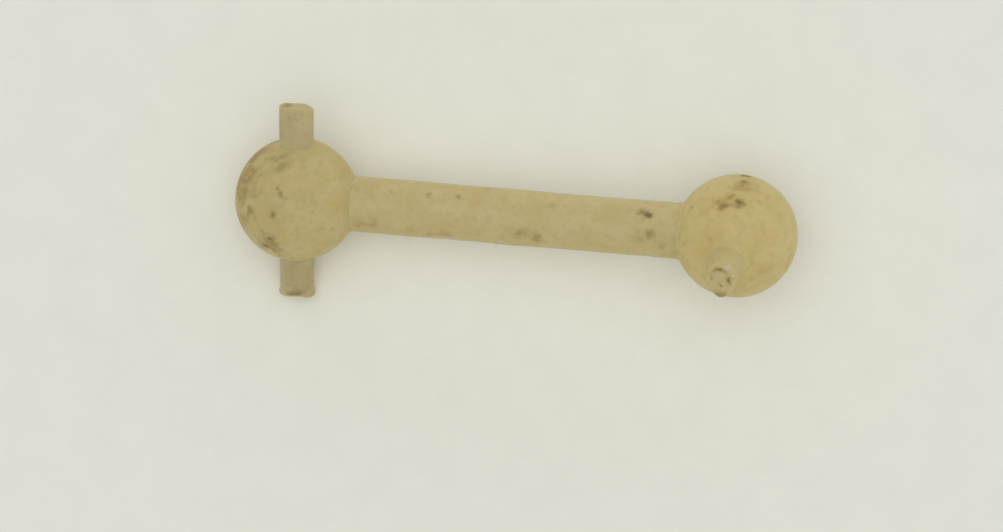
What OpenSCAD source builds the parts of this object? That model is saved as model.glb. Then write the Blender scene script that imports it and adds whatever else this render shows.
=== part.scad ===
// Dog-bone drive shaft: a plain rod with a ball on each end and a cross pin
// through each ball, the two pins a quarter turn apart. Millimetres, +Z up.
// The part lies on z = 0 on its natural three points: the left ball, the
// front tip of the left pin and the lower tip of the right pin.

/* [Balls] */

// Diameter of each ball (mm)
ball_d = 6.8; // [5:0.1:9]
// Distance between the two ball centres (mm)
ball_spacing = 24.7; // [18:0.1:40]

/* [Rod] */

// Diameter of the plain rod (mm)
rod_d = 3.1; // [2.6:0.1:4]
// How far each rod end reaches past its ball's centre (mm)
rod_past = 1.9; // [1.4:0.1:2.4]
// Bevel on the rod's hidden ends (mm)
rod_bevel = 0.25; // [0.1:0.05:0.5]

/* [Cross pins] */

// Diameter of each cross pin (mm)
pin_d = 1.92; // [1.4:0.01:2.2]
// Tip-to-tip length of each cross pin (mm)
pin_len = 11.2; // [9:0.1:14]
// Bevel on the pin tips (mm)
pin_bevel = 0.12; // [0.05:0.01:0.3]
// Depth of the two hidden grooves that lock each pin in its ball (mm)
groove_depth = 0.2; // [0.1:0.01:0.3]
// Width of each locking groove (mm)
groove_w = 0.56; // [0.3:0.01:0.8]
// Turn of the right pin about the rod, relative to the left pin (degrees)
pin_clocking = 90; // [90:1:90]

/* [Hidden] */

$fn = 96;

ball_r = ball_d / 2;
rod_r = rod_d / 2;
pin_r = pin_d / 2;
half_pin = pin_len / 2;
half_span = ball_spacing / 2;
// each locking groove ends just inside the ball's surface
groove_out = sqrt(ball_r * ball_r - pin_r * pin_r) - 0.11;
groove_in = groove_out - groove_w;
groove_r = pin_r - groove_depth;

// --- resting attitude -------------------------------------------------
// dip of the left pin: its shoulder edge and the left ball both touch z = 0
a_reach = half_pin - pin_bevel;
dip = asin(ball_r / sqrt(a_reach * a_reach + pin_r * pin_r)) - atan2(pin_r, a_reach);
sin_dip = sin(dip);

// rise of the rod: the lower tip rim of the right pin touches z = 0
function drop(nx) = sqrt(1 - sin_dip * sin_dip - nx * nx);
function rise(nx, n) = n == 0 ? nx :
    let (b = drop(nx))
    rise((half_pin * b + (pin_r - pin_bevel) * sqrt(1 - b * b) - ball_r) / ball_spacing, n - 1);
sin_rise = rise(0.07, 12);

tilt = asin(sin_rise);
roll = atan2(sin_dip, drop(sin_rise));
mid_height = ball_r + ball_spacing * sin_rise / 2;

module at_rest() {
    translate([0, 0, mid_height]) rotate([0, -tilt, 0]) rotate([roll, 0, 0]) children();
}

// --- building blocks, in the part's own axes: rod on X, left pin on Y ---
module bevelled_bar(r, len, bevel) {
    rotate_extrude()
        polygon([[0, -len / 2], [r - bevel, -len / 2], [r, -len / 2 + bevel],
                 [r, len / 2 - bevel], [r - bevel, len / 2], [0, len / 2]]);
}

module pin_blank() {
    rotate_extrude()
        polygon([[0, -half_pin], [pin_r - pin_bevel, -half_pin], [pin_r, -half_pin + pin_bevel],
                 [pin_r, -groove_out], [groove_r, -groove_out], [groove_r, -groove_in], [pin_r, -groove_in],
                 [pin_r, groove_in], [groove_r, groove_in], [groove_r, groove_out], [pin_r, groove_out],
                 [pin_r, half_pin - pin_bevel], [pin_r - pin_bevel, half_pin], [0, half_pin]]);
}

module left_pin_shape() {
    translate([-half_span, 0, 0]) rotate([-90, 0, 0]) pin_blank();
}

module right_pin_shape() {
    translate([half_span, 0, 0]) rotate([pin_clocking - 90, 0, 0]) pin_blank();
}

// straight holes for the pins, through the rod
module left_pin_hole() {
    translate([-half_span, 0, 0]) rotate([-90, 0, 0])
        cylinder(h = 2 * rod_d, r = pin_r, center = true);
}

module right_pin_hole() {
    translate([half_span, 0, 0]) rotate([pin_clocking - 90, 0, 0])
        cylinder(h = 2 * rod_d, r = pin_r, center = true);
}

module rod_shape() {
    rotate([0, 90, 0]) bevelled_bar(rod_r, ball_spacing + 2 * rod_past, rod_bevel);
}

// --- sub-parts ----------------------------------------------------------
module shaft() {
    color([0.70, 0.63, 0.45]) at_rest()
    difference() {
        rod_shape();
        left_pin_hole();
        right_pin_hole();
    }
}

module left_ball() {
    color([0.69, 0.62, 0.43]) at_rest()
    difference() {
        translate([-half_span, 0, 0]) sphere(r = ball_r);
        rod_shape();
        // the ball is moulded round the pin, so its plastic fills the grooves
        left_pin_shape();
    }
}

module right_ball() {
    color([0.72, 0.65, 0.45]) at_rest()
    difference() {
        translate([half_span, 0, 0]) sphere(r = ball_r);
        rod_shape();
        right_pin_shape();
    }
}

module left_cross_pin() {
    color([0.67, 0.62, 0.46]) at_rest() left_pin_shape();
}

module right_cross_pin() {
    color([0.67, 0.62, 0.46]) at_rest() right_pin_shape();
}

shaft();
left_ball();
right_ball();
left_cross_pin();
right_cross_pin();
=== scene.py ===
import math

import bmesh
import bpy
import numpy as np
from mathutils import Matrix, Vector


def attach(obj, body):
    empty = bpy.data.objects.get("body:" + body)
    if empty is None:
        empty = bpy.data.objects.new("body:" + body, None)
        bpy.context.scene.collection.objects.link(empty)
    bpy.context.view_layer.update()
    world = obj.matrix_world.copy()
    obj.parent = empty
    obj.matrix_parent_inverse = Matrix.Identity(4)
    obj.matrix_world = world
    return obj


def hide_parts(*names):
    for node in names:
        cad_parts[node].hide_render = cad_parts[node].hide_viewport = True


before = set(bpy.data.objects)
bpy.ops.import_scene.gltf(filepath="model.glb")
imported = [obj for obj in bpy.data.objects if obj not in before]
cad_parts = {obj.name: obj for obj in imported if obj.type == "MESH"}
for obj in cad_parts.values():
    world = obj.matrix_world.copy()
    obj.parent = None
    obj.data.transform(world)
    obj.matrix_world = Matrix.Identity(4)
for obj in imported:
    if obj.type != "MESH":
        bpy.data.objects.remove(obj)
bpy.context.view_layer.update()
MM = 0.001

# ---------------------------------------------------------------- the part's own axes
# Millimetres. Local x runs along the rod, local y along the left pin, local z along
# the right pin, origin at the rod's middle. The same stance as the CAD's.
BALL_R, SPACING, ROD_R, ROD_PAST = 3.4, 24.7, 1.55, 1.9
PIN_R, PIN_HALF, BEVEL = 0.96, 5.6, 0.12
ROOT = math.sqrt(BALL_R**2 - PIN_R**2) - 0.11

reach = PIN_HALF - BEVEL
dip = math.asin(BALL_R / math.hypot(reach, PIN_R)) - math.atan2(PIN_R, reach)
rise = 0.07
for _ in range(40):
    drop = math.sqrt(1 - math.sin(dip) ** 2 - rise * rise)
    rise = (PIN_HALF * drop + (PIN_R - BEVEL) * math.sqrt(1 - drop * drop) - BALL_R) / SPACING
tilt = math.asin(rise)
roll = math.atan2(math.sin(dip), math.sqrt(1 - math.sin(dip) ** 2 - rise * rise))
st, ct, sr, cr = math.sin(tilt), math.cos(tilt), math.sin(roll), math.cos(roll)
TURN = np.array([[ct, -st * sr, -st * cr], [0, cr, -sr], [st, ct * sr, ct * cr]])
MIDDLE = np.array([0, 0, BALL_R + SPACING * rise / 2])
LEFT, RIGHT = -SPACING / 2, SPACING / 2


def to_row(p):
    """Local millimetres to the row frame's millimetres."""
    return p @ TURN.T + MIDDLE


# ---------------------------------------------------------------- smooth seeded noise
def noise(p, seed):
    """Value noise from -1 to 1 at points p."""
    i = np.floor(p).astype(np.int64)
    f = p - i
    f = f * f * f * (f * (f * 6 - 15) + 10)
    out = np.zeros(len(p))
    for dx in (0, 1):
        for dy in (0, 1):
            for dz in (0, 1):
                h = (i[:, 0] + dx) * 374761393 + (i[:, 1] + dy) * 668265263 + (i[:, 2] + dz) * 2147483647 + seed * 974634777
                h = (h ^ (h >> 13)) * 1274126177 & 0xFFFFFFFF
                h = (h ^ (h >> 16)) & 0xFFFFFF
                w = (f[:, 0] if dx else 1 - f[:, 0]) * (f[:, 1] if dy else 1 - f[:, 1]) * (f[:, 2] if dz else 1 - f[:, 2])
                out += w * (h / 0x7FFFFF - 1)
    return out


def fbm(p, size, seed, octaves=3):
    """Layered noise whose largest lumps are about size millimetres."""
    total, amp = np.zeros(len(p)), 1.0
    for k in range(octaves):
        total += amp * noise(p * (2**k / size) + 17.3 * k, seed + k)
        amp *= 0.5
    return total / 1.75


def smooth(x, a, b):
    t = np.clip((x - a) / (b - a), 0, 1)
    return t * t * (3 - 2 * t)


def spots(p, marks, seed, soft=0.5, ragged=0.45):
    """How strongly points p lie in the marks (x, y, z, radius, strength), with ragged outlines."""
    keep = np.ones(len(p))
    for k, (x, y, z, r, s) in enumerate(marks):
        d = np.linalg.norm(p - (x, y, z), axis=1) / r
        near = d < 2.2
        if not near.any():
            continue
        q = d[near] + ragged * noise(p[near] * (1.3 / r), seed + k)
        keep[near] *= 1 - s * (1 - smooth(q, soft, 1.25))
    return 1 - keep


# ---------------------------------------------------------------- marks of use and painted shade, in local millimetres
MARKS = {
    "right_ball": {
        "dirt_and_shade": [(12.58, 3.29, -0.81, 0.15, 0.80), (12.69, 3.24, -0.98, 0.18, 1.00), (12.83, 3.22, -0.99, 0.13, 0.70), (12.73, 2.88, 1.77, 0.22, 1.00), (12.57, 2.98, 1.63, 0.10, 0.50), (12.66, 3.38, 0.14, 0.14, 0.75), (12.65, 3.34, 0.56, 0.10, 0.35), (11.93, 2.72, 1.99, 0.13, 0.55), (11.72, 2.62, 2.07, 0.12, 0.55), (11.48, 2.83, 1.67, 0.10, 0.35), (12.08, 3.02, 1.55, 0.12, 0.45), (12.29, 2.77, 1.96, 0.09, 0.40), (12.32, 3.11, 1.37, 0.10, 0.40), (15.43, -0.50, 1.35, 0.10, 0.30), (10.03, -0.55, 2.42, 0.10, 0.35), (13.71, 2.85, 1.26, 0.08, 0.35), (13.31, 2.88, 1.53, 0.08, 0.35), (10.10, 2.14, 1.38, 0.10, 0.30), (11.30, 1.08, 3.05, 0.12, 0.35), (15.06, 1.80, 0.98, 0.08, 0.30), (10.01, 0.59, 2.40, 0.10, 0.30), (14.87, 1.76, 1.45, 0.10, 0.30), (13.24, 1.84, 2.71, 0.08, 0.25), (13.38, 1.60, 2.82, 0.08, 0.25), (14.18, -0.67, 2.79, 0.10, 0.25), (15.30, 1.02, 1.34, 0.08, 0.20), (14.29, 2.24, 1.67, 0.08, 0.20), (10.94, 2.74, 1.44, 0.10, 0.20), (10.55, 2.02, 2.07, 0.08, 0.20)],
        "stain": [(13.42, 3.09, 0.93, 0.80, 0.28), (12.85, 3.25, 0.86, 0.60, 0.25), (11.31, 2.58, 1.95, 0.70, 0.33), (11.62, 2.79, 1.80, 0.50, 0.45), (10.94, 2.30, 2.07, 0.60, 0.40), (14.18, 2.83, 0.47, 0.50, 0.35), (10.51, 2.59, 1.21, 0.60, 0.35), (11.37, 2.97, 1.33, 0.60, 0.30), (13.47, 3.20, 0.24, 0.90, 0.30), (12.81, 3.36, 0.31, 0.80, 0.50), (12.42, 3.26, 0.96, 0.80, 0.35), (13.76, -0.93, 2.95, 1.00, 0.40), (12.27, -1.52, 3.04, 0.60, 0.30), (14.13, -0.59, 2.84, 0.70, 0.28), (14.53, -0.43, 2.57, 0.60, 0.45), (15.31, -1.10, 1.26, 0.50, 0.50), (15.51, -0.52, 1.14, 0.45, 0.40), (11.71, 2.69, 1.97, 0.50, 0.75), (11.94, 2.90, 1.72, 0.45, 0.60), (12.16, 3.08, 1.42, 0.45, 0.60), (12.78, 2.91, 1.71, 0.60, 0.80), (12.75, 3.36, 0.33, 0.45, 0.55), (13.61, 2.84, 1.38, 0.50, 0.40), (12.42, 3.26, 0.96, 0.50, 0.40), (14.81, 2.04, 1.15, 0.35, 0.35), (9.95, 2.10, 1.19, 0.35, 0.45), (11.24, 1.02, 3.05, 0.30, 0.30), (9.89, 0.42, 2.30, 0.40, 0.50), (10.12, 2.57, -0.05, 0.40, 0.30), (13.83, 2.76, 1.32, 0.30, 0.30), (12.31, 3.39, -0.30, 0.40, 0.30)],
        "scuff": [(11.55, 0.13, 3.30, 0.30, 0.35), (12.71, 0.33, 3.37, 0.28, 0.30)],
        "painted_shade": [],
    },
    "left_ball": {
        "dirt_and_shade": [(-13.50, -1.76, 2.67, 0.16, 0.80), (-13.02, 0.55, 3.29, 0.14, 0.70), (-13.26, -1.11, 3.08, 0.15, 0.70), (-12.69, 1.66, 2.95, 0.12, 0.65), (-12.81, 1.88, 2.79, 0.10, 0.55), (-12.59, 1.52, 3.03, 0.08, 0.45), (-12.33, 1.45, 3.08, 0.10, 0.40), (-13.10, 0.37, 3.30, 0.09, 0.40), (-13.73, -1.60, 2.67, 0.10, 0.40), (-14.62, 2.15, 1.35, 0.14, 0.45), (-14.55, -0.50, 2.54, 0.14, 0.35), (-13.88, 1.52, 2.63, 0.12, 0.35), (-14.62, 0.40, 2.50, 0.14, 0.30), (-9.90, -0.55, 2.29, 0.10, 0.40), (-14.83, 1.85, 1.41, 0.12, 0.30), (-10.82, 0.72, 2.95, 0.10, 0.35), (-12.04, -0.91, 3.26, 0.10, 0.30), (-14.89, -0.37, 2.23, 0.12, 0.25), (-11.35, 3.23, 0.38, 0.08, 0.30), (-12.43, 2.81, 1.92, 0.10, 0.25), (-11.65, -0.10, 3.32, 0.10, 0.25), (-13.01, 2.78, 1.85, 0.10, 0.20), (-11.30, 2.37, 2.21, 0.08, 0.20), (-13.93, 2.22, 2.03, 0.10, 0.20), (-11.06, 2.17, 2.28, 0.08, 0.20), (-13.23, 1.72, 2.80, 0.08, 0.20), (-13.24, -0.61, 3.22, 0.09, 0.20)],
        "stain": [(-13.36, 2.20, 2.39, 1.00, 0.35), (-13.03, 2.85, 1.73, 0.80, 0.35), (-15.03, -0.14, 2.09, 0.70, 0.60), (-14.19, 2.83, -0.41, 1.10, 0.85), (-15.18, 0.94, 1.64, 1.30, 0.65), (-15.20, -0.93, 1.60, 1.10, 0.65), (-12.92, -1.92, 2.75, 0.80, 0.55), (-14.86, 1.67, 1.57, 0.80, 0.50), (-12.71, 2.78, 1.92, 0.60, 0.40), (-15.21, 1.44, 1.14, 1.70, 0.75), (-14.77, 2.38, 0.18, 1.40, 0.75), (-15.26, -0.26, 1.74, 1.30, 0.60), (-13.92, 3.02, -0.09, 1.00, 0.60), (-14.03, 2.35, 1.79, 1.00, 0.45), (-12.43, -1.64, 2.98, 1.00, 0.45), (-13.82, -1.23, 2.81, 1.10, 0.55), (-12.80, 3.04, 1.45, 1.00, 0.40), (-14.03, 2.95, 0.25, 0.50, 0.70), (-14.54, 2.55, 0.54, 0.55, 0.80), (-14.87, 1.95, 1.18, 0.50, 0.80), (-15.13, 1.48, 1.28, 0.45, 0.80), (-14.62, 2.16, 1.31, 0.50, 0.60), (-13.16, 2.87, 1.62, 0.75, 0.55), (-13.74, 2.97, 0.89, 0.50, 0.50), (-12.70, 3.10, 1.35, 0.40, 0.35), (-14.12, 1.47, 2.50, 0.50, 0.55), (-14.56, 0.40, 2.55, 0.50, 0.95), (-14.75, -0.45, 2.37, 0.45, 0.80), (-15.28, 0.42, 1.68, 0.40, 0.50), (-14.22, 0.19, 2.83, 0.50, 0.50), (-13.34, -1.32, 2.97, 0.60, 0.90), (-13.61, -0.75, 3.07, 0.45, 0.60), (-13.82, -1.88, 2.42, 0.50, 0.70), (-12.98, -1.98, 2.69, 0.45, 0.50), (-13.07, 0.51, 3.28, 0.40, 0.40), (-11.92, -0.46, 3.34, 0.40, 0.40), (-12.76, 1.77, 2.87, 0.40, 0.35), (-12.76, -2.44, 2.34, 0.30, 0.70), (-12.15, -2.55, 2.24, 0.35, 0.80), (-11.51, -2.58, 2.05, 0.35, 0.80), (-10.91, -2.39, 1.94, 0.30, 0.60), (-10.82, 0.75, 2.94, 0.30, 0.30), (-9.90, -0.59, 2.28, 0.25, 0.30), (-10.96, -0.71, 3.02, 0.25, 0.25)],
        "scuff": [(-12.62, -1.56, 3.01, 0.28, 0.50), (-12.41, -1.73, 2.93, 0.20, 0.40), (-12.59, 0.39, 3.37, 0.15, 0.35), (-12.41, 1.38, 3.11, 0.12, 0.25)],
        "painted_shade": [],
    },
    "shaft": {
        "dirt_and_shade": [(-9.04, 1.31, 0.83, 0.08, 0.10), (-8.71, 1.34, 0.77, 0.08, 0.25), (-6.89, 1.34, 0.78, 0.12, 0.40), (-6.70, 1.21, 0.96, 0.09, 0.25), (-4.72, 1.33, 0.79, 0.13, 0.60), (-3.04, 1.35, 0.76, 0.14, 0.65), (-7.67, -0.35, 1.51, 0.17, 0.25), (-7.38, -0.20, 1.54, 0.10, 0.15), (-5.50, -0.32, 1.52, 0.12, 0.25), (-3.60, 0.63, 1.42, 0.12, 0.25), (-5.46, 1.54, -0.19, 0.15, 0.45), (-1.63, 1.55, -0.08, 0.14, 0.35), (-0.39, 0.62, 1.42, 0.10, 0.25), (0.46, -0.22, 1.53, 0.16, 0.50), (0.82, -0.32, 1.52, 0.10, 0.30), (1.64, -0.33, 1.51, 0.12, 0.35), (2.17, 1.34, 0.78, 0.13, 0.35), (6.97, 1.26, 0.90, 0.14, 0.65), (7.24, 1.32, 0.81, 0.14, 0.75), (7.47, 1.28, 0.88, 0.15, 0.95), (7.66, 1.23, 0.94, 0.14, 0.95), (6.63, 1.40, 0.67, 0.09, 0.35), (7.37, 1.55, -0.09, 0.14, 0.40), (7.08, 0.47, 1.48, 0.10, 0.40), (6.70, -0.11, 1.55, 0.09, 0.35), (7.72, 0.42, 1.49, 0.09, 0.50), (7.65, 0.16, 1.54, 0.10, 0.50), (8.09, -0.03, 1.55, 0.10, 0.45), (7.35, 0.08, 1.55, 0.08, 0.30), (4.80, 0.92, 1.25, 0.08, 0.20), (9.27, -0.75, 1.35, 0.12, 0.20), (8.36, 0.80, 1.33, 0.07, 0.15), (5.57, 0.04, 1.55, 0.07, 0.15)],
        "stain": [(-8.61, -0.68, 1.39, 0.50, 0.65), (-7.69, -0.43, 1.49, 0.50, 0.65), (-6.92, -0.72, 1.37, 0.45, 0.55), (-5.79, -0.75, 1.36, 0.50, 0.50), (-4.67, -0.77, 1.34, 0.50, 0.50), (-3.55, -0.80, 1.33, 0.50, 0.45), (0.24, -0.44, 1.49, 0.40, 0.50), (1.53, -0.44, 1.49, 0.40, 0.40), (7.23, -0.13, 1.54, 0.50, 0.45), (8.45, -0.27, 1.53, 0.50, 0.50), (9.22, 0.17, 1.54, 0.50, 0.45), (7.65, 0.48, 1.47, 0.45, 0.50), (-8.47, -0.56, 1.45, 0.70, 0.60), (-8.88, 1.32, 0.82, 0.45, 0.55), (-7.73, -0.41, 1.50, 0.50, 0.55), (-6.78, 1.29, 0.87, 0.35, 0.35), (-4.71, 1.32, 0.81, 0.30, 0.30), (-3.03, 1.34, 0.78, 0.30, 0.30), (-3.91, -0.57, 1.44, 0.60, 0.50), (-1.59, 1.55, 0.03, 0.50, 0.45), (-5.48, -0.53, 1.46, 0.50, 0.35), (0.60, -0.24, 1.53, 0.60, 0.60), (1.60, -0.34, 1.51, 0.60, 0.65), (2.19, 1.33, 0.80, 0.35, 0.35), (7.28, 1.28, 0.88, 0.50, 0.60), (7.73, 0.23, 1.53, 0.50, 0.50), (7.06, 0.28, 1.52, 0.50, 0.40), (9.07, -0.70, 1.38, 0.70, 0.60), (-2.20, -0.19, 1.54, 0.50, 0.30), (-0.54, -0.57, 1.44, 0.40, 0.25), (-6.36, 1.49, 0.43, 0.50, 0.30), (5.03, 0.65, 1.41, 0.50, 0.20)],
        "scuff": [],
        "painted_shade": [],
    },
    "left_cross_pin": {
        # the six dirt spots at y -5.41 to -5.47 along the front tip's upper side are painted shade, a dark line just
        # inside that tip's edge
        "dirt_and_shade": [(-12.61, 5.27, 0.92, 0.10, 0.45), (-12.55, 5.37, 0.94, 0.07, 0.35), (-12.27, 5.52, 0.96, 0.07, 0.45), (-12.21, 5.37, 0.95, 0.08, 0.55), (-12.18, 5.22, 0.95, 0.07, 0.45), (-12.35, 5.64, 0.96, 0.06, 0.30), (-12.47, 4.93, 0.95, 0.07, 0.20), (-12.95, 5.72, 0.38, 0.12, 0.55), (-12.78, 5.72, 0.30, 0.14, 0.60), (-12.60, 5.72, 0.26, 0.12, 0.45), (-13.18, -4.24, 0.49, 0.08, 0.60), (-12.88, -3.95, 0.80, 0.10, 0.40), (-12.82, -4.11, 0.84, 0.07, 0.30), (-12.51, -4.21, 0.95, 0.10, 0.30), (-11.44, -4.04, 0.31, 0.07, 0.40), (-11.43, -4.92, 0.29, 0.09, 0.60), (-12.76, -5.47, 0.87, 0.06, 0.70), (-12.61, -5.45, 0.93, 0.07, 0.80), (-12.46, -5.44, 0.95, 0.08, 0.90), (-12.31, -5.41, 0.96, 0.07, 0.80), (-12.17, -5.42, 0.94, 0.08, 0.80), (-12.01, -5.42, 0.90, 0.07, 0.65), (-12.17, -5.21, 0.94, 0.08, 0.40), (-12.28, -3.57, 0.96, 0.07, 0.30)],
        "stain": [(-12.92, 5.75, 0.37, 0.40, 0.60), (-12.61, 5.75, 0.24, 0.40, 0.55), (-11.80, 5.75, 0.10, 0.30, 0.40), (-12.57, -4.97, 0.93, 0.50, 0.40), (-12.01, -5.16, 0.90, 0.50, 0.50), (-11.66, -5.08, 0.67, 0.40, 0.40), (-12.50, -3.60, 0.90, 0.50, 0.30)],
        "scuff": [(-13.15, -5.55, 0.45, 0.22, 0.45), (-11.60, -5.60, 0.50, 0.22, 0.40), (-12.40, 4.10, 0.90, 0.35, 0.20)],
        # painted shade below: an even darkening over the lower pin and the sides of the upper pin, strongest on its
        # left
        "painted_shade": [(-12.35, -5.30, 0.80, 1.10, 0.50), (-11.90, -4.60, 0.80, 0.90, 0.45), (-12.80, -4.50, 0.80, 0.90, 0.45), (-12.30, -3.60, 0.90, 0.80, 0.35), (-13.20, 4.90, 0.40, 0.60, 0.60), (-13.20, 4.10, 0.40, 0.60, 0.60), (-11.60, 4.40, 0.60, 0.50, 0.30)],
    },
    "right_cross_pin": {
        # the last six dirt spots, an arc at z 5.56 along the lower rim of the upper end face, are painted shade under
        # that rim
        "dirt_and_shade": [(11.89, 0.45, 5.60, 0.07, 0.80), (12.02, 0.53, 5.60, 0.08, 0.90), (12.18, 0.57, 5.60, 0.09, 1.00), (12.35, 0.54, 5.60, 0.08, 0.95), (12.49, 0.45, 5.60, 0.07, 0.80), (12.60, 0.31, 5.60, 0.06, 0.60), (11.79, 0.11, 5.60, 0.06, 0.80), (11.79, -0.04, 5.60, 0.07, 0.90), (12.69, 0.08, 5.60, 0.08, 0.90), (12.71, -0.07, 5.60, 0.08, 0.95), (12.78, -0.22, 5.60, 0.07, 0.70), (12.86, -0.30, 5.60, 0.05, 0.45), (12.88, 0.12, 5.60, 0.05, 0.50), (12.22, -0.31, 5.60, 0.05, 0.55), (12.30, -0.39, 5.60, 0.06, 0.65), (12.38, -0.45, 5.60, 0.05, 0.55), (11.86, -0.84, 5.56, 0.08, 0.42), (12.00, -0.92, 5.56, 0.10, 0.52), (12.16, -0.96, 5.56, 0.11, 0.58), (12.33, -0.97, 5.56, 0.11, 0.58), (12.49, -0.93, 5.56, 0.10, 0.54), (12.65, -0.87, 5.56, 0.08, 0.42)],
        "stain": [(12.30, -0.85, 5.50, 0.35, 0.50), (12.00, 0.45, 5.60, 0.25, 0.30), (11.62, 0.62, 4.35, 0.22, 0.30), (11.86, 0.83, 4.93, 0.20, 0.35), (12.33, 0.96, 4.03, 0.20, 0.30)],
        # the scuff entries of this pin are paler patches along the upper right of the upper end face's rim
        "scuff": [(12.35, 0.95, 5.30, 0.40, 0.40), (12.62, 0.82, 5.50, 0.34, 0.55), (12.80, 0.62, 5.50, 0.32, 0.60), (12.90, 0.35, 5.50, 0.30, 0.60), (12.90, 0.00, 5.50, 0.26, 0.45), (12.25, 0.07, 5.60, 0.36, 0.45), (12.00, 0.85, 5.40, 0.30, 0.25), (12.27, -0.60, 5.60, 0.30, 0.25)],
        "painted_shade": [],
    },
}


DIRT_AND_SHADE_GAIN = {"shaft": 0.75, "left_ball": 0.9, "right_ball": 0.9, "left_cross_pin": 0.65, "right_cross_pin": 0.66}


# ---------------------------------------------------------------- making mesh objects
def seeded_specks(name, points, count, seed):
    """A few faint dark specks spread at random over a piece."""
    rng = np.random.default_rng(seed)
    pick = points[rng.integers(0, len(points), count)]
    return [(*p, rng.uniform(0.04, 0.09), rng.uniform(0.12, 0.4)) for p in pick]


def finish_piece(name, local, faces, normal, exposed, seed):
    """Marks, relief and floor contact on a closed local mesh, then the Blender object in the row frame.

    normal is each point's outward direction, exposed from 0 (hidden, kept exact) to 1.
    """
    marks = MARKS[name]
    blurred = [(x, y, z, r * 1.8, s * DIRT_AND_SHADE_GAIN[name]) for x, y, z, r, s in marks["dirt_and_shade"]]
    dirt_and_shade = spots(local, blurred, seed, -0.1, 0.3)
    seen = local[exposed > 0.99]
    extra = spots(local, seeded_specks(name, seen, 26, seed), seed + 300, -0.1, 0.5)
    dirt_and_shade = 1 - (1 - dirt_and_shade) * (1 - extra)
    halos = [(x, y, z, r * 3.6, s * 0.45) for x, y, z, r, s in marks["dirt_and_shade"]]
    stain = spots(local, marks["stain"], seed + 100, -0.4, 0.55)
    stain = 1 - (1 - stain) * (1 - spots(local, halos, seed + 150, -0.3, 0.5))
    stain *= np.clip(0.80 + 0.45 * fbm(local, 0.9, seed + 160, 2) + 0.55 * fbm(local, 0.3, seed + 170, 3), 0, 1)
    scuff = spots(local, marks["scuff"], seed + 200, -0.3, 0.7)
    # painted shade: an even neutral darkening, carried in the alpha of the marks
    painted_shade = spots(local, marks["painted_shade"], seed + 250, -0.3, 0.5)
    relief = 0.012 * fbm(local, 2.6, seed + 1, 2) + 0.005 * fbm(local, 0.7, seed + 2, 2) + 0.0035 * fbm(local, 0.22, seed + 3, 2)
    relief -= 0.030 * dirt_and_shade + 0.006 * stain
    relief += 0.006 * scuff * fbm(local, 0.15, seed + 4, 2)
    local = local + normal * (relief * exposed)[:, None]
    row = to_row(local)
    row[:, 2] = np.maximum(row[:, 2], 0.0)
    mesh = bpy.data.meshes.new(name + "_shape")
    mesh.from_pydata((row * MM).tolist(), [], faces)
    mesh.validate()
    colour = mesh.attributes.new("marks", "FLOAT_COLOR", "POINT")
    values = np.stack([dirt_and_shade * exposed, stain * exposed, scuff * exposed, painted_shade * exposed], 1)
    colour.data.foreach_set("color", values.astype(np.float32).ravel())
    ob = bpy.data.objects.new(name + "_piece", mesh)
    bpy.context.scene.collection.objects.link(ob)
    return ob


def cutter(radius, length, centre, axis):
    """A plain bar, in the row frame, to cut a bore with."""
    bm = bmesh.new()
    bmesh.ops.create_cone(bm, cap_ends=True, segments=128, radius1=radius * MM, radius2=radius * MM, depth=length * MM)
    mesh = bpy.data.meshes.new("cutter")
    bm.to_mesh(mesh)
    bm.free()
    ob = bpy.data.objects.new("cutter", mesh)
    c, a = to_row(np.array([centre]))[0] * MM, TURN @ np.array(axis)
    ob.matrix_world = Matrix.Translation(Vector(c)) @ Vector(a).to_track_quat("Z", "Y").to_matrix().to_4x4()
    bpy.context.scene.collection.objects.link(ob)
    return ob


def cut(ob, *bars):
    """Takes the bars out of ob, for good."""
    for bar in bars:
        m = ob.modifiers.new("bore", "BOOLEAN")
        m.operation, m.solver, m.object = "DIFFERENCE", "EXACT", bar
    bpy.context.view_layer.update()
    cut_mesh = bpy.data.meshes.new_from_object(ob.evaluated_get(bpy.context.evaluated_depsgraph_get()))
    ob.modifiers.clear()
    old = ob.data
    ob.data = cut_mesh
    cut_mesh.name = old.name
    bpy.data.meshes.remove(old)
    for bar in bars:
        mesh = bar.data
        bpy.data.objects.remove(bar)
        bpy.data.meshes.remove(mesh)


def shade(ob, angle=35):
    ob.data.shade_smooth()
    ob.data.set_sharp_from_angle(angle=math.radians(angle))


# ---------------------------------------------------------------- balls
def make_ball(name, centre_x, seed, wide):
    bm = bmesh.new()
    bmesh.ops.create_icosphere(bm, subdivisions=7, radius=1.0)
    bm.verts.ensure_lookup_table()
    n = np.array([v.co[:] for v in bm.verts])
    faces = [tuple(v.index for v in f.verts) for f in bm.faces]
    bm.free()
    n /= np.linalg.norm(n, axis=1)[:, None]
    # wide swells the ball a little across the table, and not in height
    level = n @ TURN.T
    local = (level * (wide, wide, BALL_R)) @ TURN + (centre_x, 0, 0)
    # the surface turns up in a small fillet where the pin and the rod leave it
    inward = -1 if centre_x > 0 else 1
    arm = local - (centre_x, 0, 0)

    def fillet(axis, radius, wide_mm, high):
        a, b = [k for k in range(3) if k != axis]
        c = np.maximum(np.hypot(arm[:, a], arm[:, b]) - radius, -0.03)
        return high * np.clip(1 - c / wide_mm, 0, None) ** 3

    out = arm[:, 0] * inward > 0
    local[:, 0] += inward * np.where(out, fillet(0, ROD_R, 0.26, 0.15), 0)
    along = 1 if centre_x < 0 else 2
    local[:, along] += np.sign(arm[:, along]) * fillet(along, PIN_R, 0.24 if centre_x < 0 else 0.45, 0.15 if centre_x < 0 else 0.28)
    ob = finish_piece(name, local, faces, n, np.ones(len(n)), seed)
    rod_len = BALL_R + ROD_PAST + 1
    rod_mid = centre_x + inward * (rod_len / 2 - ROD_PAST)
    pin_axis = (0, 1, 0) if centre_x < 0 else (0, 0, 1)
    cut(ob, cutter(ROD_R - 0.03, rod_len, (rod_mid, 0, 0), (1, 0, 0)), cutter(PIN_R - 0.03, 9, (centre_x, 0, 0), pin_axis))
    shade(ob)
    return ob


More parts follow.
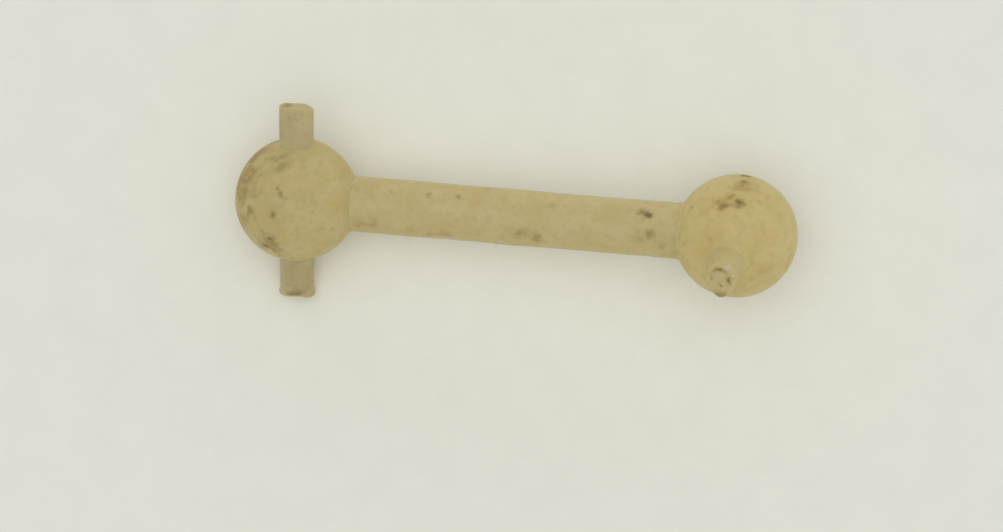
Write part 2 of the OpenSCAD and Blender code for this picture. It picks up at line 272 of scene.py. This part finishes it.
# ---------------------------------------------------------------- the rod
def make_rod(seed):
    half = SPACING / 2 + ROD_PAST
    around = 168
    along = np.concatenate([np.linspace(-half + 0.25, -10.2, 20, endpoint=False), np.arange(-10.2, 10.2, 0.06), np.linspace(10.2, half - 0.25, 20)])
    rings = [(-half, ROD_R - 0.25), (-half + 0.12, ROD_R - 0.13)] + [(x, ROD_R) for x in along] + [(half - 0.12, ROD_R - 0.13), (half, ROD_R - 0.25)]
    th = np.linspace(0, 2 * math.pi, around, endpoint=False)
    x = np.repeat([r[0] for r in rings], around)
    rad = np.repeat([r[1] for r in rings], around)
    ang = np.tile(th, len(rings))
    normal = np.stack([np.zeros_like(ang), np.cos(ang), np.sin(ang)], 1)
    local = np.stack([x, rad * np.cos(ang), rad * np.sin(ang)], 1)
    faces = []
    for i in range(len(rings) - 1):
        for j in range(around):
            k = (j + 1) % around
            faces.append((i * around + j, i * around + k, (i + 1) * around + k, (i + 1) * around + j))
    faces.append(tuple(range(around))[::-1])
    faces.append(tuple(range((len(rings) - 1) * around, len(rings) * around)))
    exposed = 1 - smooth(np.abs(x), 9.25, 9.4)
    # slight waviness of the rod, and two shallow dents on its front lower edge
    wave = 0.018 * noise(np.stack([x * 0.35, ang * 0, ang * 0], 1), seed + 7)
    for dx, dw, dd in ((-3.75, 0.30, 0.055), (7.45, 0.42, 0.060), (-9.0, 0.5, 0.02), (1.1, 0.5, 0.02)):
        toward = np.clip(-(normal[:, 1] * 0.886 + normal[:, 2] * 0.1), 0, 1) ** 3
        wave -= dd * np.exp(-(((x - dx) / dw) ** 2)) * toward
    local = local + normal * (wave * exposed)[:, None]
    ob = finish_piece("shaft", local, faces, normal, exposed, seed)
    cut(ob, cutter(PIN_R - 0.01, 5, (LEFT, 0, 0), (0, 1, 0)), cutter(PIN_R - 0.01, 5, (RIGHT, 0, 0), (0, 0, 1)))
    shade(ob)
    return ob


# ---------------------------------------------------------------- cross pins
def make_pin(name, centre_x, seed, along_y, shape):
    """A pin along local y or z, turned profile with rounded tips. shape(t, radial, ang) gives each point's change (along, radial)."""
    around = 120
    step = 0.045
    tip, edge, bend = PIN_HALF, PIN_R, 0.13 if along_y else 0.26
    side = np.arange(ROOT, tip - bend, step)
    prof = [(tip, r) for r in np.arange(step, edge - bend - step * 0.4, step)]
    prof += [(tip - bend + bend * math.cos(a), edge - bend + bend * math.sin(a)) for a in np.radians([0, 18, 36, 54, 72, 90])]
    prof += [(t, edge) for t in side[::-1]]
    prof += [(ROOT - 0.3, edge), (1.2, edge)]
    prof = [(t, r) for t, r in prof] + [(-t, r) for t, r in prof[::-1]]
    th = np.linspace(0, 2 * math.pi, around, endpoint=False)
    t = np.repeat([p[0] for p in prof], around)
    rad = np.repeat([p[1] for p in prof], around)
    ang = np.tile(th, len(prof))
    # outward direction: along the pin on the end faces, radial on the wall, turning between them over the rounded edge
    lean = smooth(rad, edge - bend - 0.02, edge)
    onend = np.abs(t) > tip - bend * 0.999
    lean = np.where(onend, lean, 1.0)
    n_t = np.sqrt(np.clip(1 - lean**2, 0, 1)) * np.sign(t)
    exposed = smooth(np.abs(t), ROOT, ROOT + 0.1)
    dt, dr, *swing = shape(t, rad, ang)
    t, rad = t + dt * exposed, rad + dr * exposed
    if swing:
        ang = ang + swing[0] * exposed

    def place(along, c, s):
        return np.stack([c + centre_x, along, s], 1) if along_y else np.stack([c + centre_x, s, along], 1)

    local = place(t, rad * np.cos(ang), rad * np.sin(ang))
    normal = place(n_t, lean * np.cos(ang), lean * np.sin(ang)) - (centre_x, 0, 0)
    faces = []
    rows = len(prof)
    for i in range(rows - 1):
        for j in range(around):
            k = (j + 1) % around
            faces.append((i * around + j, i * around + k, (i + 1) * around + k, (i + 1) * around + j))
    top, bottom = len(local), len(local) + 1
    ends = []
    for s, row in ((1, 0), (-1, rows - 1)):
        ring = slice(row * around, (row + 1) * around)
        ends.append(local[ring].mean(0))
        hub = top if s == 1 else bottom
        for j in range(around):
            k = (j + 1) % around
            faces.append((hub, row * around + k, row * around + j) if s == 1 else (hub, row * around + j, row * around + k))
    local = np.vstack([local, ends])
    normal = np.vstack([normal, place(np.array([1.0, -1.0]), np.zeros(2), np.zeros(2)) - (centre_x, 0, 0)])
    exposed = np.append(exposed, [1.0, 1.0])
    if not along_y:
        faces = [f[::-1] for f in faces]
    ob = finish_piece(name, local, faces, normal, exposed, seed)
    shade(ob, 50)
    return ob


def left_pin_shape(t, rad, ang):
    """Rear tip cut square across the table with one corner worn away; front tip flared at its sides, its edge uneven."""
    c, s = np.cos(ang), np.sin(ang)
    front, rear = t < 0, t > 0
    far = np.abs(t)
    wall = smooth(rad, 0.6, 0.96)
    # front: sideways lips, and a wavy edge along the upper side
    lip = smooth(far, 5.43, 5.54) * front * wall
    dr = lip * 0.085 * np.abs(c) ** 1.5 * (1 + 0.15 * c)
    wavy = np.interp(c, [-1, -0.84, -0.7, -0.3, 0, 0.32, 0.5, 0.65, 0.87, 1], [0.12, 0.15, 0.13, 0.06, 0.03, 0.03, 0.07, 0.15, 0.23, 0.22])
    dt = np.where(front, -wavy * smooth(s, -0.6, 0.2) * smooth(far, 5.25, 5.47) * smooth(rad, 0.3, 0.9), 0.0)
    # rear: the end face slants, so that it looks square from above, and its right corner is worn off
    x, z = rad * c, rad * s
    slant = 0.22 + 0.44 * np.minimum(z / PIN_R, 0.0) - 0.42 * np.maximum(x - 0.46, 0.0) - 0.12 * smooth(-x, 0.6, 0.96)
    slant += 0.015 * np.sin(5 * x + 1) + 0.01 * np.sin(9 * z)
    dt += np.where(rear, slant * smooth(far, 4.95, 5.47), 0.0)
    return dt, dr


def right_pin_shape(t, rad, ang):
    """Upper end narrowed and worn round, leaning a little, with a shallow broken ring pressed into its face."""
    c, s = np.cos(ang), np.sin(ang)
    upper = (t > 0).astype(float)
    rise_up = smooth(t, 3.3, 5.5) * upper
    x, y = rad * c, rad * s
    # narrower across, fuller below, and a lip along the lower rim
    x = x * (1 - 0.10 * rise_up) - 0.035 * rise_up
    y = y * (1 - 0.02 * rise_up) - 0.075 * rise_up
    lower = np.exp(-(((ang - 1.5 * math.pi) / 0.62) ** 2))
    y -= 0.18 * lower * smooth(rad, 0.5, 0.92) * smooth(t, 4.9, 5.4) * upper
    ring = np.hypot(x + 0.08, y - 0.08)
    turn = np.arctan2(y - 0.08, x + 0.08)
    depth = 0.035 * (0.65 + 0.35 * np.sin(2 * turn + 0.6)) * np.exp(-(((ring - 0.46) / 0.10) ** 2))
    swell = 0.02 * np.exp(-((ring / 0.3) ** 2))
    face = (t > 5.4) * upper
    dt = face * (swell - depth - 0.04 * smooth(np.hypot(x, y), 0.4, 0.95) * (1 - lower))
    return dt, np.hypot(x, y) - rad, np.arctan2(y, x) - ang


# ---------------------------------------------------------------- materials
def node(tree, kind, at, **values):
    n = tree.nodes.new(kind)
    n.location = at
    for k, v in values.items():
        setattr(n, k, v)
    return n


def ramp(tree, at, stops, interpolation="EASE"):
    n = node(tree, "ShaderNodeValToRGB", at)
    n.color_ramp.interpolation = interpolation
    els = n.color_ramp.elements
    while len(els) > 1:
        els.remove(els[-1])
    els[0].position, els[0].color = stops[0][0], stops[0][1]
    for pos, col in stops[1:]:
        e = els.new(pos)
        e.color = col
    return n


def mix(tree, at, blend, factor, a, b):
    n = node(tree, "ShaderNodeMix", at, data_type="RGBA", blend_type=blend)
    for sock, v in ((n.inputs[0], factor), (n.inputs[6], a), (n.inputs[7], b)):
        if isinstance(v, bpy.types.NodeSocket):
            tree.links.new(v, sock)
        else:
            sock.default_value = v
    return n.outputs[2]


def noise_node(tree, at, coords, scale, detail=4.0, rough=0.55, distortion=0.0):
    n = node(tree, "ShaderNodeTexNoise", at)
    n.inputs["Scale"].default_value = scale
    n.inputs["Detail"].default_value = detail
    n.inputs["Roughness"].default_value = rough
    n.inputs["Distortion"].default_value = distortion
    tree.links.new(coords, n.inputs["Vector"])
    return n.outputs["Fac"]


def grey(v):
    return (v, v, v, 1.0)


def plastic(name, base, warm, deep, seed):
    """Aged natural plastic: base colour, warm mottles, brown stains, dark specks with some painted rim shade, pale
    scuffs, and an even painted shade from the marks' alpha.
    """
    mat = bpy.data.materials.new(name)
    mat.use_nodes = True
    t = mat.node_tree
    for n in list(t.nodes):
        t.nodes.remove(n)
    out = node(t, "ShaderNodeOutputMaterial", (1600, 0))
    bsdf = node(t, "ShaderNodeBsdfPrincipled", (1250, 0))
    t.links.new(bsdf.outputs[0], out.inputs["Surface"])
    coord = node(t, "ShaderNodeTexCoord", (-1500, 0)).outputs["Object"]
    shift = node(t, "ShaderNodeMapping", (-1300, 0))
    shift.inputs["Location"].default_value = (0.013 * seed, 0.007 * seed, 0.003 * seed)
    t.links.new(coord, shift.inputs["Vector"])
    p = shift.outputs["Vector"]
    # broad mottling, about 1.5 mm, and finer clouding, about 0.4 mm
    broad = ramp(t, (-900, 400), [(0.36, grey(0.0)), (0.68, grey(1.0))])
    t.links.new(noise_node(t, (-1100, 400), p, 620, 3.0, 0.5, 0.3), broad.inputs[0])
    fine = ramp(t, (-900, 150), [(0.42, grey(0.0)), (0.72, grey(1.0))])
    t.links.new(noise_node(t, (-1100, 150), p, 2300, 3.0, 0.6, 0.2), fine.inputs[0])
    col = mix(t, (-600, 400), "MIX", broad.outputs[0], base, warm)
    half = node(t, "ShaderNodeMath", (-780, 40), operation="MULTIPLY")
    half.inputs[1].default_value = 0.65
    t.links.new(fine.outputs[0], half.inputs[0])
    col = mix(t, (-400, 400), "MIX", half.outputs[0], col, deep)
    # patches that lean to orange or to green, a few tenths of a millimetre across
    hue = ramp(t, (-900, 700), [(0.34, (1.02, 0.99, 0.945, 1)), (0.50, (1, 1, 1, 1)), (0.66, (0.965, 1.0, 0.965, 1))])
    t.links.new(noise_node(t, (-1100, 700), p, 1500, 3.0, 0.6, 0.3), hue.inputs[0])
    col = mix(t, (-200, 500), "MULTIPLY", 1.0, col, hue.outputs[0])
    # marks painted on the points, broken up by grain at shading resolution
    attr = node(t, "ShaderNodeAttribute", (-1100, -300), attribute_name="marks")
    split = node(t, "ShaderNodeSeparateColor", (-900, -300))
    t.links.new(attr.outputs["Color"], split.inputs[0])
    grain = noise_node(t, (-1100, -550), p, 6500, 3.0, 0.65)

    def broken(channel, low, high, at, weight=0.8):
        add = node(t, "ShaderNodeMath", (at[0], at[1]), operation="MULTIPLY_ADD")
        t.links.new(grain, add.inputs[0])
        add.inputs[1].default_value = weight
        add.inputs[2].default_value = -weight * 0.5
        total = node(t, "ShaderNodeMath", (at[0] + 160, at[1]), operation="ADD")
        t.links.new(add.outputs[0], total.inputs[0])
        t.links.new(split.outputs[channel], total.inputs[1])
        gate = node(t, "ShaderNodeMath", (at[0] + 320, at[1] - 120), operation="MULTIPLY")
        t.links.new(total.outputs[0], gate.inputs[0])
        near = ramp(t, (at[0] + 160, at[1] - 200), [(0.0, grey(0.0)), (0.12, grey(1.0))])
        t.links.new(split.outputs[channel], near.inputs[0])
        t.links.new(near.outputs[0], gate.inputs[1])
        r = ramp(t, (at[0] + 480, at[1]), [(low, grey(0.0)), (high, grey(1.0))])
        t.links.new(gate.outputs[0], r.inputs[0])
        return r.outputs[0]

    stain = broken(1, 0.05, 0.95, (-700, -150), 0.35)
    col = mix(t, (200, 300), "MULTIPLY", stain, col, (0.64, 0.55, 0.38, 1.0))
    scuff = broken(2, 0.05, 0.9, (-700, -800), 0.6)
    col = mix(t, (400, 300), "MIX", scuff, col, (0.56, 0.50, 0.33, 1.0))
    # dark specks of dirt, and on the two pin ends a painted rim shade kept in the same lists, all in one dark colour
    dirt_and_shade = broken(0, 0.02, 1.0, (-700, -480), 0.35)
    col = mix(t, (600, 300), "MIX", dirt_and_shade, col, (0.190, 0.142, 0.052, 1.0))
    # painted shade: the marks' alpha darkens the colour towards a neutral grey, standing in for shade on the pins
    painted_shade_tint = ramp(t, (400, 600), [(0.0, grey(1.0)), (1.0, (0.80, 0.79, 0.82, 1.0))], "LINEAR")
    t.links.new(attr.outputs["Alpha"], painted_shade_tint.inputs[0])
    col = mix(t, (800, 300), "MULTIPLY", 1.0, col, painted_shade_tint.outputs[0])
    t.links.new(col, bsdf.inputs["Base Color"])
    # satin skin, duller where the dark specks and painted rim shade lie
    gloss = ramp(t, (500, -200), [(0.3, grey(0.46)), (0.7, grey(0.60))])
    t.links.new(noise_node(t, (300, -200), p, 1500, 4.0, 0.6), gloss.inputs[0])
    dull = mix(t, (800, -200), "MIX", dirt_and_shade, gloss.outputs[0], grey(0.85))
    t.links.new(dull, bsdf.inputs["Roughness"])
    # fine skin texture
    skin = noise_node(t, (300, -500), p, 5200, 5.0, 0.62)
    bump = node(t, "ShaderNodeBump", (900, -500))
    bump.inputs["Strength"].default_value = 0.55
    bump.inputs["Distance"].default_value = 0.00002
    t.links.new(skin, bump.inputs["Height"])
    t.links.new(bump.outputs[0], bsdf.inputs["Normal"])
    bsdf.inputs["Subsurface Weight"].default_value = 0.5
    bsdf.inputs["Subsurface Radius"].default_value = (1.0, 0.75, 0.40)
    bsdf.inputs["Subsurface Scale"].default_value = 0.0003
    bsdf.inputs["IOR"].default_value = 1.48
    return mat


def floor_material():
    mat = bpy.data.materials.new("pale_floor")
    mat.use_nodes = True
    t = mat.node_tree
    bsdf = t.nodes["Principled BSDF"]
    coord = node(t, "ShaderNodeTexCoord", (-900, 0)).outputs["Object"]
    r = ramp(t, (-400, 0), [(0.3, (0.865, 0.865, 0.775, 1)), (0.7, (0.885, 0.885, 0.793, 1))])
    t.links.new(noise_node(t, (-650, 0), coord, 420, 5.0, 0.6), r.inputs[0])
    t.links.new(r.outputs[0], bsdf.inputs["Base Color"])
    bsdf.inputs["Roughness"].default_value = 0.9
    bsdf.inputs["Specular IOR Level"].default_value = 0.1
    return mat


left_ball_mat = plastic("aged_left_ball_plastic", (0.560, 0.468, 0.215, 1), (0.530, 0.425, 0.180, 1), (0.490, 0.385, 0.152, 1), 1)
right_ball_mat = plastic("aged_right_ball_plastic", (0.610, 0.500, 0.218, 1), (0.580, 0.462, 0.184, 1), (0.535, 0.418, 0.152, 1), 4)
rod_mat = plastic("aged_rod_plastic", (0.578, 0.484, 0.238, 1), (0.550, 0.450, 0.202, 1), (0.512, 0.408, 0.174, 1), 2)
pin_mat = plastic("aged_pin_plastic", (0.540, 0.460, 0.240, 1), (0.510, 0.425, 0.210, 1), (0.475, 0.385, 0.175, 1), 3)
near_pin_mat = plastic("aged_near_pin_plastic", (0.570, 0.475, 0.220, 1), (0.540, 0.437, 0.185, 1), (0.505, 0.400, 0.158, 1), 5)

# ---------------------------------------------------------------- the pieces
made = [
    (make_rod(11), "shaft", rod_mat, "rod_plastic"),
    (make_ball("left_ball", LEFT, 23, 3.44), "left_ball", left_ball_mat, "ball_plastic"),
    (make_ball("right_ball", RIGHT, 37, BALL_R), "right_ball", right_ball_mat, "ball_plastic"),
    (make_pin("left_cross_pin", LEFT, 41, True, left_pin_shape), "left_cross_pin", pin_mat, "pin_plastic"),
    (make_pin("right_cross_pin", RIGHT, 59, False, right_pin_shape), "right_cross_pin", near_pin_mat, "pin_plastic"),
]
for ob, cad, mat, slot in made:
    ob.data.materials.clear()
    ob.data.materials.append(mat)
    for poly in (ob.data.polygons,):
        poly.foreach_set("material_index", np.zeros(len(poly), dtype=np.int32))
    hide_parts(cad)
    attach(ob, "root")

# ---------------------------------------------------------------- floor, light, camera
floor_mesh = bpy.data.meshes.new("floor_shape")
w = 3.0
floor_mesh.from_pydata([(-w, -w, 0), (w, -w, 0), (w, w, 0), (-w, w, 0)], [], [(0, 1, 2, 3)])
floor = bpy.data.objects.new("floor", floor_mesh)
bpy.context.scene.collection.objects.link(floor)
floor.data.materials.append(floor_material())

world = bpy.data.worlds.new("soft_studio")
world.use_nodes = True
wt = world.node_tree
sky = wt.nodes["Background"]
# a soft overhead light, brightest in its middle, and a pale horizon all round
facing = node(wt, "ShaderNodeTexCoord", (-1400, 0)).outputs["Generated"]
over = node(wt, "ShaderNodeVectorMath", (-1100, 200), operation="DOT_PRODUCT")
over.inputs[1].default_value = Vector((0.0, -0.055, 1.0)).normalized()
wt.links.new(facing, over.inputs[0])
overhead = ramp(wt, (-850, 200), [(0.0, grey(0.0)), (0.48, grey(0.02)), (0.60, grey(0.09)), (0.72, grey(0.17)), (0.82, grey(0.22)), (0.90, grey(0.27)), (0.95, grey(0.66)), (0.98, grey(0.74))], "LINEAR")
wt.links.new(over.outputs["Value"], overhead.inputs[0])
side = node(wt, "ShaderNodeVectorMath", (-1100, -100), operation="DOT_PRODUCT")
side.inputs[1].default_value = (0.12, 0.28, 0.0)
wt.links.new(facing, side.inputs[0])
height = node(wt, "ShaderNodeSeparateXYZ", (-1100, -300))
wt.links.new(facing, height.inputs[0])
band = ramp(wt, (-850, -300), [(0.0, grey(0.24)), (0.035, grey(0.25)), (0.08, grey(0.42)), (0.30, grey(0.34)), (0.45, grey(0.08)), (0.60, grey(0.03))], "LINEAR")
wt.links.new(height.outputs[2], band.inputs[0])
lean = node(wt, "ShaderNodeMath", (-600, -100), operation="ADD")
lean.inputs[1].default_value = 1.0
wt.links.new(side.outputs["Value"], lean.inputs[0])
leaned = node(wt, "ShaderNodeMath", (-420, -200), operation="MULTIPLY")
wt.links.new(lean.outputs[0], leaned.inputs[0])
wt.links.new(band.outputs[0], leaned.inputs[1])
total = node(wt, "ShaderNodeMath", (-250, 0), operation="ADD")
wt.links.new(overhead.outputs[0], total.inputs[0])
wt.links.new(leaned.outputs[0], total.inputs[1])
strength = node(wt, "ShaderNodeMath", (-120, 0), operation="MULTIPLY")
strength.inputs[1].default_value = 2.87
wt.links.new(total.outputs[0], strength.inputs[0])
sky.inputs[0].default_value = (1.0, 0.995, 0.985, 1)
wt.links.new(strength.outputs[0], sky.inputs[1])
bpy.context.scene.world = world

cam_data = bpy.data.cameras.new("camera")
camera = bpy.data.objects.new("camera", cam_data)
bpy.context.scene.collection.objects.link(camera)
bpy.context.scene.camera = camera
FOCAL_PX, DISTANCE = 6320.4, 350.0
lean_x, lean_y, cam_roll = math.radians(4.26), math.radians(-1.78), math.radians(-5.16)
aim = Vector((-0.523, -2.762, 4.4))
away = Vector((math.tan(lean_x), math.tan(lean_y), 1.0)).normalized()
right = (-away).cross(Vector((math.sin(cam_roll), math.cos(cam_roll), 0.0))).normalized()
up = right.cross(-away)
turn = Matrix((right, up, away)).transposed().to_4x4()
camera.matrix_world = Matrix.Translation((aim + away * DISTANCE) * MM) @ turn
cam_data.sensor_width = 36.0
cam_data.lens = FOCAL_PX / 1003 * 36.0
cam_data.clip_start, cam_data.clip_end = 0.01, 10.0

bpy.context.scene.view_settings.view_transform = "Standard"
bpy.context.scene.view_settings.look = "None"
